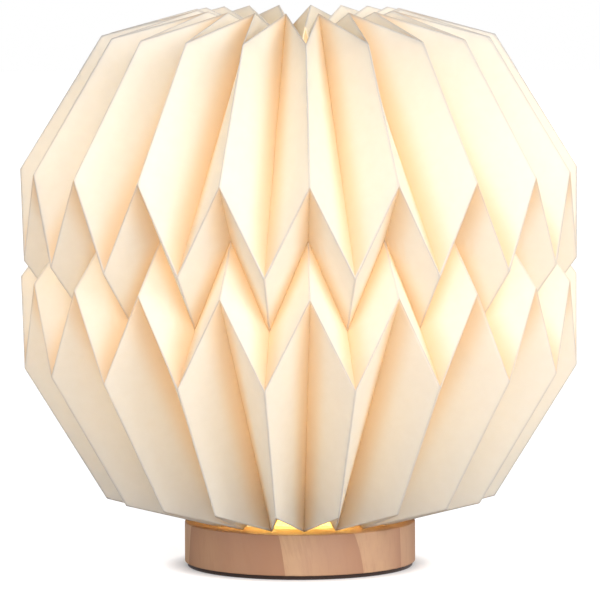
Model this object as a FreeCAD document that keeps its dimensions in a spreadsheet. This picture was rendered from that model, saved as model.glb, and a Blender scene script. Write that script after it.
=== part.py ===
import FreeCAD, Part
import math
import os
import re
from Sketcher import Constraint

# Pleated paper table lamp: a folded paper shade that rests on a turned wooden base with a lit opal
# lens. Millimetres, +Z up, +Y to the rear, origin in the middle of the underside of the base.

SIZES = [
    # name, value, what it is
    ("base_radius", 50.0, "outer radius of the wooden base"),
    ("wood_height", 17.7, "height of the wooden ring"),
    ("edge_chamfer", 0.7, "broken edges of the turned wood"),
    ("pad_height", 1.7, "thickness of the dark pad under the base"),
    ("pad_inset", 1.2, "how far the pad stays inside the wood"),
    ("cavity_wall", 10.0, "wood outside the hollow that is turned into the base from below"),
    ("roof_height", 4.5, "wood left above the hollow"),
    ("cover_wall", 3.0, "wood outside the steel plate that closes the base"),
    ("cover_height", 2.0, "thickness of that plate"),
    ("cover_gap", 0.2, "gap between the plate and its rebate"),
    ("cover_screw_count", 3, "number of cover screws"),
    ("screw_radius", 1.3, "shank of a cover screw"),
    ("screw_head", 2.6, "head radius of a cover screw"),
    ("screw_length", 8.0, "length of a cover screw with its head"),
    ("screw_gap", 0.05, "gap round a screw in its hole"),
    ("lens_radius", 22.2, "outside of the opal lens"),
    ("lens_wall", 1.6, "wall of the opal lens"),
    ("lens_stand", 13.5, "how far the lens stands above the wood"),
    ("lens_sink", 4.0, "how far the lens reaches below the wood's top"),
    ("lens_shoulder", 3.0, "rounding between the lens's side and top"),
    ("lens_gap", 0.2, "gap round the lens in its tray"),
    ("lens_ledge", 2.0, "ledge that carries the lens"),
    ("tray_wall", 1.6, "wall of the light tray"),
    ("tray_floor", 1.5, "floor of the light tray"),
    ("tray_depth", 8.0, "underside of the light tray below the wood's top"),
    ("tray_flange", 7.0, "width of the light tray's flange"),
    ("flange_height", 1.5, "thickness of that flange"),
    ("tray_gap", 0.2, "gap between the light tray and the wood"),
    ("tray_screw_count", 3, "number of flange screws"),
    ("small_radius", 1.0, "shank of a small screw"),
    ("small_head", 1.9, "head radius of a small screw"),
    ("small_head_height", 1.0, "head height of a small screw"),
    ("pan_edge", 0.4, "broken edge of a pan head"),
    ("tray_screw_length", 4.2, "length of a flange screw"),
    ("led_board_height", 1.2, "aluminium-core LED board"),
    ("led_board_gap", 0.4, "gap round the LED board in its tray"),
    ("led_ring", 11.5, "ring of the LEDs"),
    ("led_count", 12, "number of LEDs"),
    ("led_size", 3.0, "side of an LED"),
    ("led_height", 0.8, "height of an LED"),
    ("led_screw_ring", 16.8, "ring of the LED board's screws"),
    ("led_screw_count", 3, "number of the LED board's screws"),
    ("led_screw_reach", 2.5, "shank of an LED board screw below its head"),
    ("battery_width", 50.0, "battery along X"),
    ("battery_height", 5.0, "battery along Z"),
    ("battery_round", 1.2, "rounded edges of the battery"),
    ("battery_front_gap", 18.0, "battery behind the front of the hollow"),
    ("battery_rear_gap", 4.15, "battery in front of the charging board"),
    ("tape_height", 0.6, "foam tape under the battery"),
    ("tape_inset", 4.0, "tape smaller than the battery on each side"),
    ("board_width", 20.0, "charging board along X"),
    ("board_length", 26.0, "charging board along Y"),
    ("board_height", 1.2, "thickness of the charging board"),
    ("board_lift", 2.8, "spacers under the charging board"),
    ("board_setback", 0.25, "rear edge of the board in front of the plunger's tip"),
    ("spacer_radius", 2.2, "radius of a spacer"),
    ("spacer_x", 7.0, "spacers left and right of the middle"),
    ("spacer_back", 14.2, "spacers forward of the board's rear edge"),
    ("board_screw_reach", 3.4, "shank of a board screw below its head"),
    ("parts_setback", 5.2, "chip, coil and capacitors behind the board's front edge"),
    ("chip_size", 4.0, "side of the charging chip and of the coil"),
    ("chip_height", 1.0, "height of the charging chip"),
    ("coil_height", 2.2, "height of the coil"),
    ("capacitor_width", 1.2, "capacitor along X"),
    ("capacitor_depth", 2.5, "capacitor along Y"),
    ("capacitor_height", 0.8, "capacitor along Z"),
    ("capacitor_pitch", 1.8, "from one capacitor to the next"),
    ("plug_level", 9.3, "height of the middle of socket and button"),
    ("bezel_width", 26.0, "rear bezel along X"),
    ("bezel_height", 9.4, "rear bezel along Z"),
    ("bezel_depth", 1.5, "thickness of the rear bezel"),
    ("bezel_sink", 2.6, "outer face of the bezel inside the base's radius"),
    ("bezel_gap", 0.1, "gap round the bezel in its recess"),
    ("bezel_ledge", 1.1, "ledge of wood behind the bezel's rim"),
    ("socket_x", -5.5, "middle of the charging socket"),
    ("socket_width", 8.94, "charging socket along X"),
    ("socket_height", 3.2, "charging socket along Z"),
    ("socket_depth", 7.3, "charging socket along Y"),
    ("socket_wall", 0.3, "sheet of the socket's shell"),
    ("socket_back", 1.2, "rear wall of the socket"),
    ("socket_sink", 0.2, "socket mouth behind the bezel's face"),
    ("socket_gap", 0.2, "gap round the socket in the bezel"),
    ("tongue_height", 0.7, "contact tongue in the socket, along Z"),
    ("tongue_width", 6.4, "contact tongue along X"),
    ("tongue_length", 5.6, "contact tongue along Y"),
    ("button_x", 7.0, "middle of the button and of its switch"),
    ("button_radius", 2.4, "radius of the button"),
    ("button_lip", 0.8, "lip that keeps the button in"),
    ("button_lip_depth", 0.7, "thickness of that lip"),
    ("button_gap", 0.1, "gap round the button in the bezel"),
    ("button_play", 0.25, "play between that lip and the bezel"),
    ("button_rise", 1.4, "button in front of the bezel's face"),
    ("button_edge", 0.4, "broken edge of the button's face"),
    ("button_travel", 0.5, "how far the button goes in"),
    ("switch_width", 6.0, "key switch along X"),
    ("switch_depth", 3.2, "key switch along Y"),
    ("switch_height", 3.3, "key switch along Z"),
    ("plunger_radius", 0.9, "plunger of the key switch"),
    ("plunger_length", 0.85, "plunger in front of the switch's body"),
    ("plunger_gap", 0.05, "gap between the plunger and the button pressed home"),
    ("lead_radius", 0.55, "radius of an insulated lead"),
    ("lead_bend", 1.7, "bend radius of a lead"),
    ("lead_step", 1.5, "the two leads of a pair left and right of their middle"),
    ("battery_lead_x", -6.0, "middle of the battery's pair of leads"),
    ("lead_play", 0.5, "room round the leads in their hole"),
    ("lead_hole_gap", 5.1, "hole for the leads in front of the board"),
    ("seat_gap", 0.3, "play of pieces that only rest on each other"),
    ("shade_radius", 120.0, "outer folds of the shade"),
    ("pleat_count", 20, "number of pleats"),
    ("pleat_turn", 2.1, "degrees from straight ahead to the first pleat"),
    ("kink_height", 42.2, "outer kinks above and below the middle"),
    ("waist_height", 4.25, "outer folds of the waist above and below the middle"),
    ("waist_depth", 17.0, "inner folds of the waist inside the outer ones"),
    ("flank_length", 67.1, "outer fold from the kink to the rim's corner"),
    ("flank_lean", 31.7, "degrees that this fold leans inwards"),
    ("rim_extra", 1.2, "how much steeper the rim's fold is cut than the others"),
    ("paper", 0.4, "thickness of the paper"),
    ("fold_limit", 0.45, "farthest that a fold's skin stands off its middle"),
    ("shade_fit", 1.2, "play between the lower collar and the lens"),
]

doc = FreeCAD.newDocument("pleated_lamp")
sheet = doc.addObject("Spreadsheet::Sheet", "Sizes")
for row, (alias, value, note) in enumerate(SIZES, start=1):
    sheet.set("A%d" % row, note)
    sheet.set("B%d" % row, str(value))
    sheet.setAlias("B%d" % row, alias)
doc.recompute()


def size(name):
    """The value of one driving dimension."""
    return float(getattr(sheet, name))


ALIASES = re.compile(r"\b(%s)\b" % "|".join(alias for alias, value, note in SIZES))


def cell(text):
    """An expression in which every driving dimension's name is read from the sheet."""
    return ALIASES.sub(r"Sizes.\1", text)


def level(text):
    """The number that such an expression gives now, for the shapes that are set in code."""
    return float(sheet.evalExpression(cell(text)))


# Heights and places that several pieces share, each built from the driving dimensions.
COVER_RADIUS = "(base_radius - cover_wall)"
CAVITY_RADIUS = "(base_radius - cavity_wall)"
COVER_SCREW_RING = "(base_radius - (cover_wall + cavity_wall) / 2)"
COVER_TOP = "(pad_height + cover_height)"
WOOD_TOP = "(pad_height + wood_height)"
CAVITY_TOP = "(%s - roof_height)" % WOOD_TOP
CUP_RADIUS = "(lens_radius + lens_gap + tray_wall)"
LEDGE_RADIUS = "(lens_radius + lens_gap - lens_ledge)"
FLANGE_RADIUS = "(%s + tray_flange)" % CUP_RADIUS
TRAY_SCREW_RING = "(%s + tray_flange / 2)" % CUP_RADIUS
TRAY_BOTTOM = "(%s - tray_depth)" % WOOD_TOP
LED_BOARD_TOP = "(%s + tray_floor + led_board_height)" % TRAY_BOTTOM
LED_BOARD_RADIUS = "(%s - led_board_gap)" % LEDGE_RADIUS
BEZEL_FACE = "(base_radius - bezel_sink)"
BEZEL_BACK = "(%s - bezel_depth)" % BEZEL_FACE
BUTTON_BACK = "(%s - button_play - button_lip_depth)" % BEZEL_BACK
PLUNGER_TIP = "(%s - button_travel - plunger_gap)" % BUTTON_BACK
BOARD_TOP = "(%s + board_lift + board_height)" % COVER_TOP
BOARD_REAR = "(%s - board_setback)" % PLUNGER_TIP
BOARD_FRONT = "(%s - board_length)" % BOARD_REAR
SPACER_Y = "(%s - spacer_back)" % BOARD_REAR
LEAD_HOLE_Y = "(%s - lead_hole_gap)" % BOARD_FRONT
BATTERY_FRONT = "(battery_front_gap - %s)" % CAVITY_RADIUS
BATTERY_REAR = "(%s - battery_rear_gap)" % BOARD_FRONT


# ---- ways of making a piece -------------------------------------------------------------------

PIECES = []
MATCH = 1e-4  # two heights this close are the same
MESH_TOLERANCE = 0.001


def new_body(label):
    """An empty body that becomes one node."""
    body = doc.addObject("PartDesign::Body", label)
    body.Label = label
    PIECES.append(body)
    return body


def origin_feature(body, role):
    """One of the body's own origin planes or axes."""
    return next(item for item in body.Origin.OriginFeatures if item.Role == role)


def new_sketch(body, name, role, offset=("0", "0", "0")):
    """A sketch on one of the body's origin planes, moved by three expressions."""
    sketch = body.newObject("Sketcher::SketchObject", name)
    sketch.AttachmentSupport = [(origin_feature(body, role), "")]
    sketch.MapMode = "FlatFace"
    for axis, text in zip("xyz", offset):
        if text != "0":
            sketch.setExpression("AttachmentOffset.Base." + axis, cell(text))
    return sketch


def place_point(sketch, geometry, point, across, along):
    """Hold one point of the sketch at two expressions from the sketch's origin."""
    for kind, text in (("DistanceX", across), ("DistanceY", along)):
        number = sketch.addConstraint(Constraint(kind, -1, 1, geometry, point, level(text)))
        sketch.setExpression("Constraints[%d]" % number, cell(text))


def add_polygon(sketch, corners):
    """A closed outline with straight sides between corners given as expressions."""
    spots = [FreeCAD.Vector(level(a), level(b), 0) for a, b in corners]
    count = len(spots)
    first = sketch.GeometryCount
    for index in range(count):
        sketch.addGeometry(Part.LineSegment(spots[index], spots[(index + 1) % count]), False)
    for index in range(count):
        following = first + (index + 1) % count
        sketch.addConstraint(Constraint("Coincident", first + index, 2, following, 1))
    for index, (across, along) in enumerate(corners):
        place_point(sketch, first + index, 1, across, along)


def add_circle(sketch, radius, across="0", along="0"):
    """A circle with its radius and centre given as expressions."""
    centre = FreeCAD.Vector(level(across), level(along), 0)
    number = sketch.addGeometry(Part.Circle(centre, FreeCAD.Vector(0, 0, 1), level(radius)), False)
    place_point(sketch, number, 3, across, along)
    held = sketch.addConstraint(Constraint("Radius", number, level(radius)))
    sketch.setExpression("Constraints[%d]" % held, cell(radius))


def add_slot(sketch, width, height, across="0", along="0"):
    """A slot with round ends: two straight sides joined by tangent half circles."""
    reach = "((%s) - (%s)) / 2" % (width, height)
    half = level(height) / 2
    left = FreeCAD.Vector(level(across) - level(reach), level(along), 0)
    right = FreeCAD.Vector(level(across) + level(reach), level(along), 0)
    lift = FreeCAD.Vector(0, half, 0)
    up = FreeCAD.Vector(0, 0, 1)
    quarter = math.pi / 2
    first = sketch.GeometryCount
    sketch.addGeometry(Part.LineSegment(left + lift, right + lift), False)
    sketch.addGeometry(Part.ArcOfCircle(Part.Circle(right, up, half), -quarter, quarter), False)
    sketch.addGeometry(Part.LineSegment(right - lift, left - lift), False)
    sketch.addGeometry(Part.ArcOfCircle(Part.Circle(left, up, half), quarter, 3 * quarter), False)
    sketch.addConstraint(Constraint("Tangent", first, 2, first + 1, 2))
    sketch.addConstraint(Constraint("Tangent", first + 1, 1, first + 2, 1))
    sketch.addConstraint(Constraint("Tangent", first + 2, 2, first + 3, 2))
    sketch.addConstraint(Constraint("Tangent", first + 3, 1, first, 1))
    place_point(sketch, first + 1, 3, "(%s) + %s" % (across, reach), along)
    place_point(sketch, first + 3, 3, "(%s) - (%s)" % (across, reach), along)
    held = sketch.addConstraint(Constraint("Radius", first + 1, half))
    sketch.setExpression("Constraints[%d]" % held, cell("(%s) / 2" % height))


def revolve(body, sketch, cut=False):
    """Turn the sketch once round its own vertical axis."""
    kind = "PartDesign::Groove" if cut else "PartDesign::Revolution"
    feature = body.newObject(kind, sketch.Name + "_turned")
    feature.Profile = sketch
    feature.ReferenceAxis = (sketch, ["V_Axis"])
    feature.Angle = 360
    return feature


def pad(body, sketch, length, reverse=False):
    """Give the sketch a thickness."""
    feature = body.newObject("PartDesign::Pad", sketch.Name + "_pad")
    feature.Profile = sketch
    feature.Reversed = reverse
    feature.setExpression("Length", cell(length))
    return feature


def pocket(body, sketch, length, reverse=False):
    """Cut the sketch out to a depth."""
    feature = body.newObject("PartDesign::Pocket", sketch.Name + "_pocket")
    feature.Profile = sketch
    feature.Reversed = reverse
    feature.setExpression("Length", cell(length))
    return feature


def around(body, feature, count):
    """Repeat a feature evenly round the lamp's axis."""
    pattern = body.newObject("PartDesign::PolarPattern", feature.Name + "_round")
    pattern.Originals = [feature]
    pattern.Axis = (origin_feature(body, "Z_Axis"), [""])
    pattern.Angle = 360
    pattern.setExpression("Occurrences", cell(count))
    body.Tip = pattern
    return pattern


def turned(label, corners):
    """A piece turned about the lamp's axis from one outline of radius and height."""
    body = new_body(label)
    sketch = new_sketch(body, label + "_outline", "XZ_Plane")
    add_polygon(sketch, corners)
    revolve(body, sketch)
    return body


def bore(body, name, radius, ring, low, height, count):
    """Holes on a ring, from a height upwards."""
    sketch = new_sketch(body, name, "XY_Plane", ("0", "0", low))
    add_circle(sketch, radius, ring)
    hole = pocket(body, sketch, height, reverse=True)
    return around(body, hole, count)


def box(label, corner, extent):
    """A plain block from its low corner and its extent, both as expressions."""
    block = doc.addObject("Part::Box", label)
    for axis, text in zip("xyz", corner):
        block.setExpression("Placement.Base." + axis, cell(text))
    for side, text in zip(("Length", "Width", "Height"), extent):
        block.setExpression(side, cell(text))
    return block


def cylinder(label, centre, radius, height, along_y=False):
    """A plain cylinder that stands on a point, upright or lying towards the rear."""
    rod = doc.addObject("Part::Cylinder", label)
    if along_y:
        rod.Placement.Rotation = FreeCAD.Rotation(FreeCAD.Vector(1, 0, 0), -90)
    for axis, text in zip("xyz", centre):
        rod.setExpression("Placement.Base." + axis, cell(text))
    rod.setExpression("Radius", cell(radius))
    rod.setExpression("Height", cell(height))
    return rod


def join(label, shapes):
    """Several touching shapes as one piece."""
    fused = doc.addObject("Part::MultiFuse", label)
    fused.Shapes = shapes
    fused.Label = label
    return fused


def group(label, shapes):
    """Identical separate solids that share one node."""
    together = doc.addObject("Part::Compound", label)
    together.Links = shapes
    together.Label = label
    PIECES.append(together)
    return together


def minus(label, solid, tools):
    """A piece with other shapes cut out of it."""
    tool = tools[0] if len(tools) == 1 else join(label + "_tools", tools)
    result = doc.addObject("Part::Cut", label)
    result.Base = solid
    result.Tool = tool
    result.Label = label
    return result


def keep(piece):
    """Export this object as a node of its own."""
    PIECES.append(piece)
    return piece


# ---- the base ---------------------------------------------------------------------------------

def make_wooden_base():
    """Turned ring: hollow from below, a roof with a stepped bore for the light tray, and a recess
    with a ledge in the rear wall for the bezel."""
    body = turned("wooden_base", [
        (COVER_RADIUS + " + cover_gap", "pad_height"),
        ("base_radius - edge_chamfer", "pad_height"),
        ("base_radius", "pad_height + edge_chamfer"),
        ("base_radius", WOOD_TOP + " - edge_chamfer"),
        ("base_radius - edge_chamfer", WOOD_TOP),
        (FLANGE_RADIUS + " + tray_gap", WOOD_TOP),
        (FLANGE_RADIUS + " + tray_gap", WOOD_TOP + " - flange_height"),
        (CUP_RADIUS + " + tray_gap", WOOD_TOP + " - flange_height"),
        (CUP_RADIUS + " + tray_gap", CAVITY_TOP),
        (CAVITY_RADIUS, CAVITY_TOP),
        (CAVITY_RADIUS, COVER_TOP),
        (COVER_RADIUS + " + cover_gap", COVER_TOP),
    ])
    recess = new_sketch(body, "bezel_recess", "XZ_Plane", ("0", "0", "0 - " + BEZEL_BACK))
    add_slot(recess, "bezel_width + 2 * bezel_gap", "bezel_height + 2 * bezel_gap", "0", "plug_level")
    pocket(body, recess, "bezel_sink + bezel_depth")
    window = new_sketch(body, "rear_window", "XZ_Plane", ("0", "0", "0 - " + BEZEL_BACK))
    add_slot(window, "bezel_width - 2 * bezel_ledge", "bezel_height - 2 * bezel_ledge", "0", "plug_level")
    pocket(body, window, "%s - %s / 2" % (BEZEL_BACK, CAVITY_RADIUS), reverse=True)
    bore(body, "cover_screw_holes", "screw_radius + screw_gap", COVER_SCREW_RING, COVER_TOP,
         "screw_length - cover_height + screw_gap", "cover_screw_count")
    bore(body, "tray_screw_holes", "small_radius + screw_gap", TRAY_SCREW_RING, CAVITY_TOP,
         "roof_height - flange_height", "tray_screw_count")
    return body


def make_base_cover():
    """Steel plate in the rebate under the base, with countersunk holes."""
    body = turned("base_cover", [
        ("0", "pad_height"),
        (COVER_RADIUS, "pad_height"),
        (COVER_RADIUS, COVER_TOP),
        ("0", COVER_TOP),
    ])
    sink = new_sketch(body, "cover_countersink", "XZ_Plane", (COVER_SCREW_RING, "0", "0"))
    add_polygon(sink, [
        ("0", "pad_height"),
        ("screw_head + screw_gap", "pad_height"),
        ("screw_radius + screw_gap", "pad_height + screw_head - screw_radius"),
        ("screw_radius + screw_gap", COVER_TOP),
        ("0", COVER_TOP),
    ])
    hole = revolve(body, sink, cut=True)
    around(body, hole, "cover_screw_count")
    return body


def countersunk_screws(label, ring, face, head, shank, length, count, upward):
    """Countersunk screws on a ring, heads flush with a face, going up or down from it."""
    sign = " + " if upward else " - "
    body = new_body(label)
    sketch = new_sketch(body, label + "_outline", "XZ_Plane", (ring, "0", "0"))
    corners = [
        ("0", face),
        (head, face),
        (shank, "%s%s(%s - %s)" % (face, sign, head, shank)),
        (shank, "%s%s(%s - %s)" % (face, sign, length, shank)),
        ("0", "%s%s%s" % (face, sign, length)),
    ]
    add_polygon(sketch, corners)
    screw = revolve(body, sketch)
    around(body, screw, count)
    return body


def make_base_pad():
    """Dark felt pad that the lamp stands on."""
    return turned("base_pad", [
        ("0", "0"),
        ("base_radius - pad_inset", "0"),
        ("base_radius - pad_inset", "pad_height"),
        ("0", "pad_height"),
    ])


# ---- the light --------------------------------------------------------------------------------

def make_light_tray():
    """White cup with a flange let into the wood, a ledge for the lens and a hole for the leads."""
    body = turned("light_tray", [
        ("0", TRAY_BOTTOM),
        (CUP_RADIUS, TRAY_BOTTOM),
        (CUP_RADIUS, WOOD_TOP + " - flange_height"),
        (FLANGE_RADIUS, WOOD_TOP + " - flange_height"),
        (FLANGE_RADIUS, WOOD_TOP),
        ("lens_radius + lens_gap", WOOD_TOP),
        ("lens_radius + lens_gap", WOOD_TOP + " - lens_sink"),
        (LEDGE_RADIUS, WOOD_TOP + " - lens_sink"),
        (LEDGE_RADIUS, TRAY_BOTTOM + " + tray_floor"),
        ("0", TRAY_BOTTOM + " + tray_floor"),
    ])
    sink = new_sketch(body, "flange_countersink", "XZ_Plane", (TRAY_SCREW_RING, "0", "0"))
    add_polygon(sink, [
        ("0", WOOD_TOP),
        ("small_head + screw_gap", WOOD_TOP),
        ("small_radius + screw_gap", WOOD_TOP + " - (small_head - small_radius)"),
        ("small_radius + screw_gap", WOOD_TOP + " - flange_height"),
        ("0", WOOD_TOP + " - flange_height"),
    ])
    around(body, revolve(body, sink, cut=True), "tray_screw_count")
    bore(body, "led_screw_holes_tray", "small_radius + screw_gap", "led_screw_ring", TRAY_BOTTOM,
         "tray_floor", "led_screw_count")
    hole = new_sketch(body, "lead_hole", "XY_Plane", ("0", "0", TRAY_BOTTOM))
    add_slot(hole, "2 * (lead_step + lead_radius + lead_play)", "2 * (lead_radius + lead_play)", "0",
             LEAD_HOLE_Y)
    pocket(body, hole, "tray_floor", reverse=True)
    return body


def make_led_board():
    """Round aluminium-core board."""
    body = new_body("led_board")
    sketch = new_sketch(body, "led_board_outline", "XY_Plane", ("0", "0", TRAY_BOTTOM + " + tray_floor"))
    add_circle(sketch, LED_BOARD_RADIUS)
    pad(body, sketch, "led_board_height")
    bore(body, "led_screw_holes_board", "small_radius + screw_gap", "led_screw_ring",
         TRAY_BOTTOM + " + tray_floor", "led_board_height", "led_screw_count")
    return body


def make_leds():
    """Square LEDs in a ring on the board."""
    body = new_body("led_chips")
    sketch = new_sketch(body, "led_chip_outline", "XY_Plane", ("led_ring", "0", LED_BOARD_TOP))
    half = "led_size / 2"
    add_polygon(sketch, [
        ("0 - " + half, "0 - " + half),
        (half, "0 - " + half),
        (half, half),
        ("0 - " + half, half),
    ])
    around(body, pad(body, sketch, "led_height"), "led_count")
    return body


def pan_screws(label, ring, face, reach, count):
    """Pan-head screws on a ring, heads standing on a face."""
    body = new_body(label)
    sketch = new_sketch(body, label + "_outline", "XZ_Plane", (ring, "0", "0"))
    add_polygon(sketch, [
        ("0", "%s - %s" % (face, reach)),
        ("small_radius", "%s - %s" % (face, reach)),
        ("small_radius", face),
        ("small_head", face),
        ("small_head", "%s + small_head_height - pan_edge" % face),
        ("small_head - pan_edge", "%s + small_head_height" % face),
        ("0", "%s + small_head_height" % face),
    ])
    around(body, revolve(body, sketch), count)
    return body


def make_lens():
    """Opal cup upside down over the LEDs: a straight side, a rounded shoulder and a flat top, shelled
    to one wall."""
    body = new_body("opal_lens")
    foot = WOOD_TOP + " - lens_sink"
    sketch = new_sketch(body, "lens_disc", "XY_Plane", ("0", "0", foot))
    add_circle(sketch, "lens_radius")
    block = pad(body, sketch, "lens_sink + lens_stand")
    doc.recompute()
    rim = edge_at(block, level(WOOD_TOP + " + lens_stand"))
    rounding = body.newObject("PartDesign::Fillet", "lens_shoulder_round")
    rounding.Base = (block, [rim])
    rounding.setExpression("Radius", cell("lens_shoulder"))
    doc.recompute()
    low = level(foot)
    mouth = next("Face%d" % (n + 1) for n, face in enumerate(rounding.Shape.Faces)
                 if abs(face.BoundBox.ZMax - low) < MATCH)
    shell = body.newObject("PartDesign::Thickness", "lens_hollow")
    shell.Base = (rounding, [mouth])
    shell.setExpression("Value", cell("lens_wall"))
    shell.Reversed = True
    shell.Join = 0
    return body


def edge_at(feature, height):
    """The name of the feature's round edge at a height."""
    return next("Edge%d" % (n + 1) for n, edge in enumerate(feature.Shape.Edges)
                if abs(edge.BoundBox.ZMin - height) < MATCH and abs(edge.BoundBox.ZMax - height) < MATCH)


# ---- battery and charging board ---------------------------------------------------------------

def make_battery():
    """Flat pouch cell with soft edges on a strip of foam tape."""
    depth = "%s - %s" % (BATTERY_REAR, BATTERY_FRONT)
    keep(box("battery_tape",
             ("tape_inset - battery_width / 2", "tape_inset + " + BATTERY_FRONT, COVER_TOP),
             ("battery_width - 2 * tape_inset", depth + " - 2 * tape_inset", "tape_height")))
    pouch = box("battery_block",
                ("0 - battery_width / 2", BATTERY_FRONT, COVER_TOP + " + tape_height"),
                ("battery_width", depth, "battery_height"))
    doc.recompute()
    soft = doc.addObject("Part::Fillet", "battery_cell")
    soft.Base = pouch
    radius = size("battery_round")
    soft.Edges = [(number + 1, radius, radius) for number in range(len(pouch.Shape.Edges))]
    keep(soft)


def make_charging_board():
    """Board on two spacers, with its screws, chips, socket and key switch."""
    holes = []
    spacers = []
    screws = []
    for side, name in ((-1, "left"), (1, "right")):
        spot = ("%d * spacer_x" % side, SPACER_Y)
        holes.append(cylinder("board_hole_" + name, spot + (BOARD_TOP + " - board_height",),
                              "small_radius + screw_gap", "board_height"))
        post = cylinder("post_" + name, spot + (COVER_TOP,), "spacer_radius", "board_lift")
        thread = cylinder("post_hole_" + name, spot + (COVER_TOP,), "small_radius + screw_gap", "board_lift")
        spacers.append(minus("spacer_" + name, post, [thread]))
        head = cylinder("screw_head_" + name, spot + (BOARD_TOP,), "small_head", "small_head_height")
        shank = cylinder("screw_shank_" + name, spot + (BOARD_TOP + " - board_screw_reach",),
                         "small_radius", "board_screw_reach")
        screws.append(join("board_screw_" + name, [head, shank]))
    blank = box("board_blank", ("0 - board_width / 2", BOARD_FRONT, BOARD_TOP + " - board_height"),
                ("board_width", "board_length", "board_height"))
    keep(minus("charging_board", blank, holes))
    group("board_spacers", spacers)
    group("board_screws", screws)


def make_board_parts():
    """Charging chip, coil and two capacitors, soldered to the board."""
    front = BOARD_FRONT + " + parts_setback"
    parts = [
        box("charging_chip", ("0 - chip_size / 2", front, BOARD_TOP),
            ("chip_size", "chip_size", "chip_height")),
        box("coil", ("chip_size", front, BOARD_TOP), ("chip_size", "chip_size", "coil_height")),
    ]
    for number in (1, 2):
        left = "0 - chip_size - %d * capacitor_pitch" % number
        parts.append(box("capacitor_%d" % number, (left, front, BOARD_TOP),
                         ("capacitor_width", "capacitor_depth", "capacitor_height")))
    group("board_parts", parts)


def make_socket():
    """Charging socket: a drawn shell with round ends, open to the rear, with its contact tongue."""
    body = new_body("charging_socket")
    mouth = BEZEL_FACE + " - socket_sink"
    outline = new_sketch(body, "socket_outline", "XZ_Plane", ("0", "0", "0 - (%s)" % mouth))
    add_slot(outline, "socket_width", "socket_height", "socket_x", BOARD_TOP + " + socket_height / 2")
    pad(body, outline, "socket_depth")
    hollow = new_sketch(body, "socket_hollow", "XZ_Plane", ("0", "0", "0 - (%s)" % mouth))
    add_slot(hollow, "socket_width - 2 * socket_wall", "socket_height - 2 * socket_wall", "socket_x",
             BOARD_TOP + " + socket_height / 2")
    pocket(body, hollow, "socket_depth - socket_back", reverse=True)
    tongue = new_sketch(body, "socket_tongue", "XZ_Plane",
                        ("0", "0", "0 - (%s - socket_depth + socket_back / 2)" % mouth))
    half = "tongue_width / 2"
    low = BOARD_TOP + " + socket_height / 2 - tongue_height / 2"
    add_polygon(tongue, [
        ("socket_x - " + half, low),
        ("socket_x + " + half, low),
        ("socket_x + " + half, low + " + tongue_height"),
        ("socket_x - " + half, low + " + tongue_height"),
    ])
    pad(body, tongue, "tongue_length", reverse=True)
    return body


def make_switch():
    """Side-acting key switch: a block with a plunger towards the button. The plunger is drawn where
    it is when the button is pressed home."""
    body_front = PLUNGER_TIP + " - plunger_length - switch_depth"
    block = box("switch_block", ("button_x - switch_width / 2", body_front, BOARD_TOP),
                ("switch_width", "switch_depth", "switch_height"))
    plunger = cylinder("switch_plunger", ("button_x", PLUNGER_TIP + " - plunger_length - switch_depth / 2",
                                          "plug_level"),
                       "plunger_radius", "plunger_length + switch_depth / 2", along_y=True)
    keep(join("key_switch", [block, plunger]))


def make_bezel():
    """Black plate with round ends in the rear of the base, with openings for socket and button."""
    body = new_body("rear_bezel")
    outline = new_sketch(body, "bezel_outline", "XZ_Plane", ("0", "0", "0 - " + BEZEL_BACK))
    add_slot(outline, "bezel_width", "bezel_height", "0", "plug_level")
    pad(body, outline, "bezel_depth", reverse=True)
    opening = new_sketch(body, "bezel_openings", "XZ_Plane", ("0", "0", "0 - " + BEZEL_BACK))
    add_slot(opening, "socket_width + 2 * socket_gap", "socket_height + 2 * socket_gap", "socket_x",
             BOARD_TOP + " + socket_height / 2")
    add_circle(opening, "button_radius + button_gap", "button_x", "plug_level")
    pocket(body, opening, "bezel_depth")
    return body


def make_button():
    """Round push button with a lip behind the bezel and a softly domed end."""
    body = new_body("power_button")
    sketch = new_sketch(body, "button_outline", "XY_Plane", ("button_x", "0", "plug_level"))
    back = BUTTON_BACK
    face = BEZEL_FACE + " + button_rise"
    add_polygon(sketch, [
        ("0", back),
        ("button_radius + button_lip", back),
        ("button_radius + button_lip", back + " + button_lip_depth"),
        ("button_radius", back + " + button_lip_depth"),
        ("button_radius", face + " - button_edge"),
        ("button_radius - button_edge", face),
        ("0", face),
    ])
    revolve(body, sketch)
    return body


# ---- leads ------------------------------------------------------------------------------------

def bent_lead(points, radius, bend):
    """A round lead along straight runs joined by tangent arcs."""
    spots = [FreeCAD.Vector(*spot) for spot in points]
    edges = []
    start = spots[0]
    for before, corner, after in zip(spots, spots[1:], spots[2:]):
        come = (before - corner).normalize()
        go = (after - corner).normalize()
        half = come.getAngle(go) / 2
        reach = bend / math.tan(half)
        first = corner + come * reach
        last = corner + go * reach
        inward = (come + go).normalize()
        middle = corner + inward * (bend / math.sin(half) - bend)
        edges.append(Part.LineSegment(start, first).toShape())
        edges.append(Part.Arc(first, middle, last).toShape())
        start = last
    edges.append(Part.LineSegment(start, spots[-1]).toShape())
    path = Part.Wire(edges)
    ring = Part.Wire(Part.makeCircle(radius, spots[0], spots[1] - spots[0]))
    return path.makePipeShell([ring], True, True)


def lead_pair(label, middle, route):
    """Two leads side by side along a route given as (y, z)."""
    radius = size("lead_radius")
    bend = size("lead_bend")
    apart = size("lead_step")
    leads = [bent_lead([(middle + side * apart, y, z) for y, z in route], radius, bend)
             for side in (-1, 1)]
    feature = doc.addObject("Part::Feature", label)
    feature.Shape = Part.makeCompound(leads)
    feature.Label = label
    PIECES.append(feature)


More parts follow.
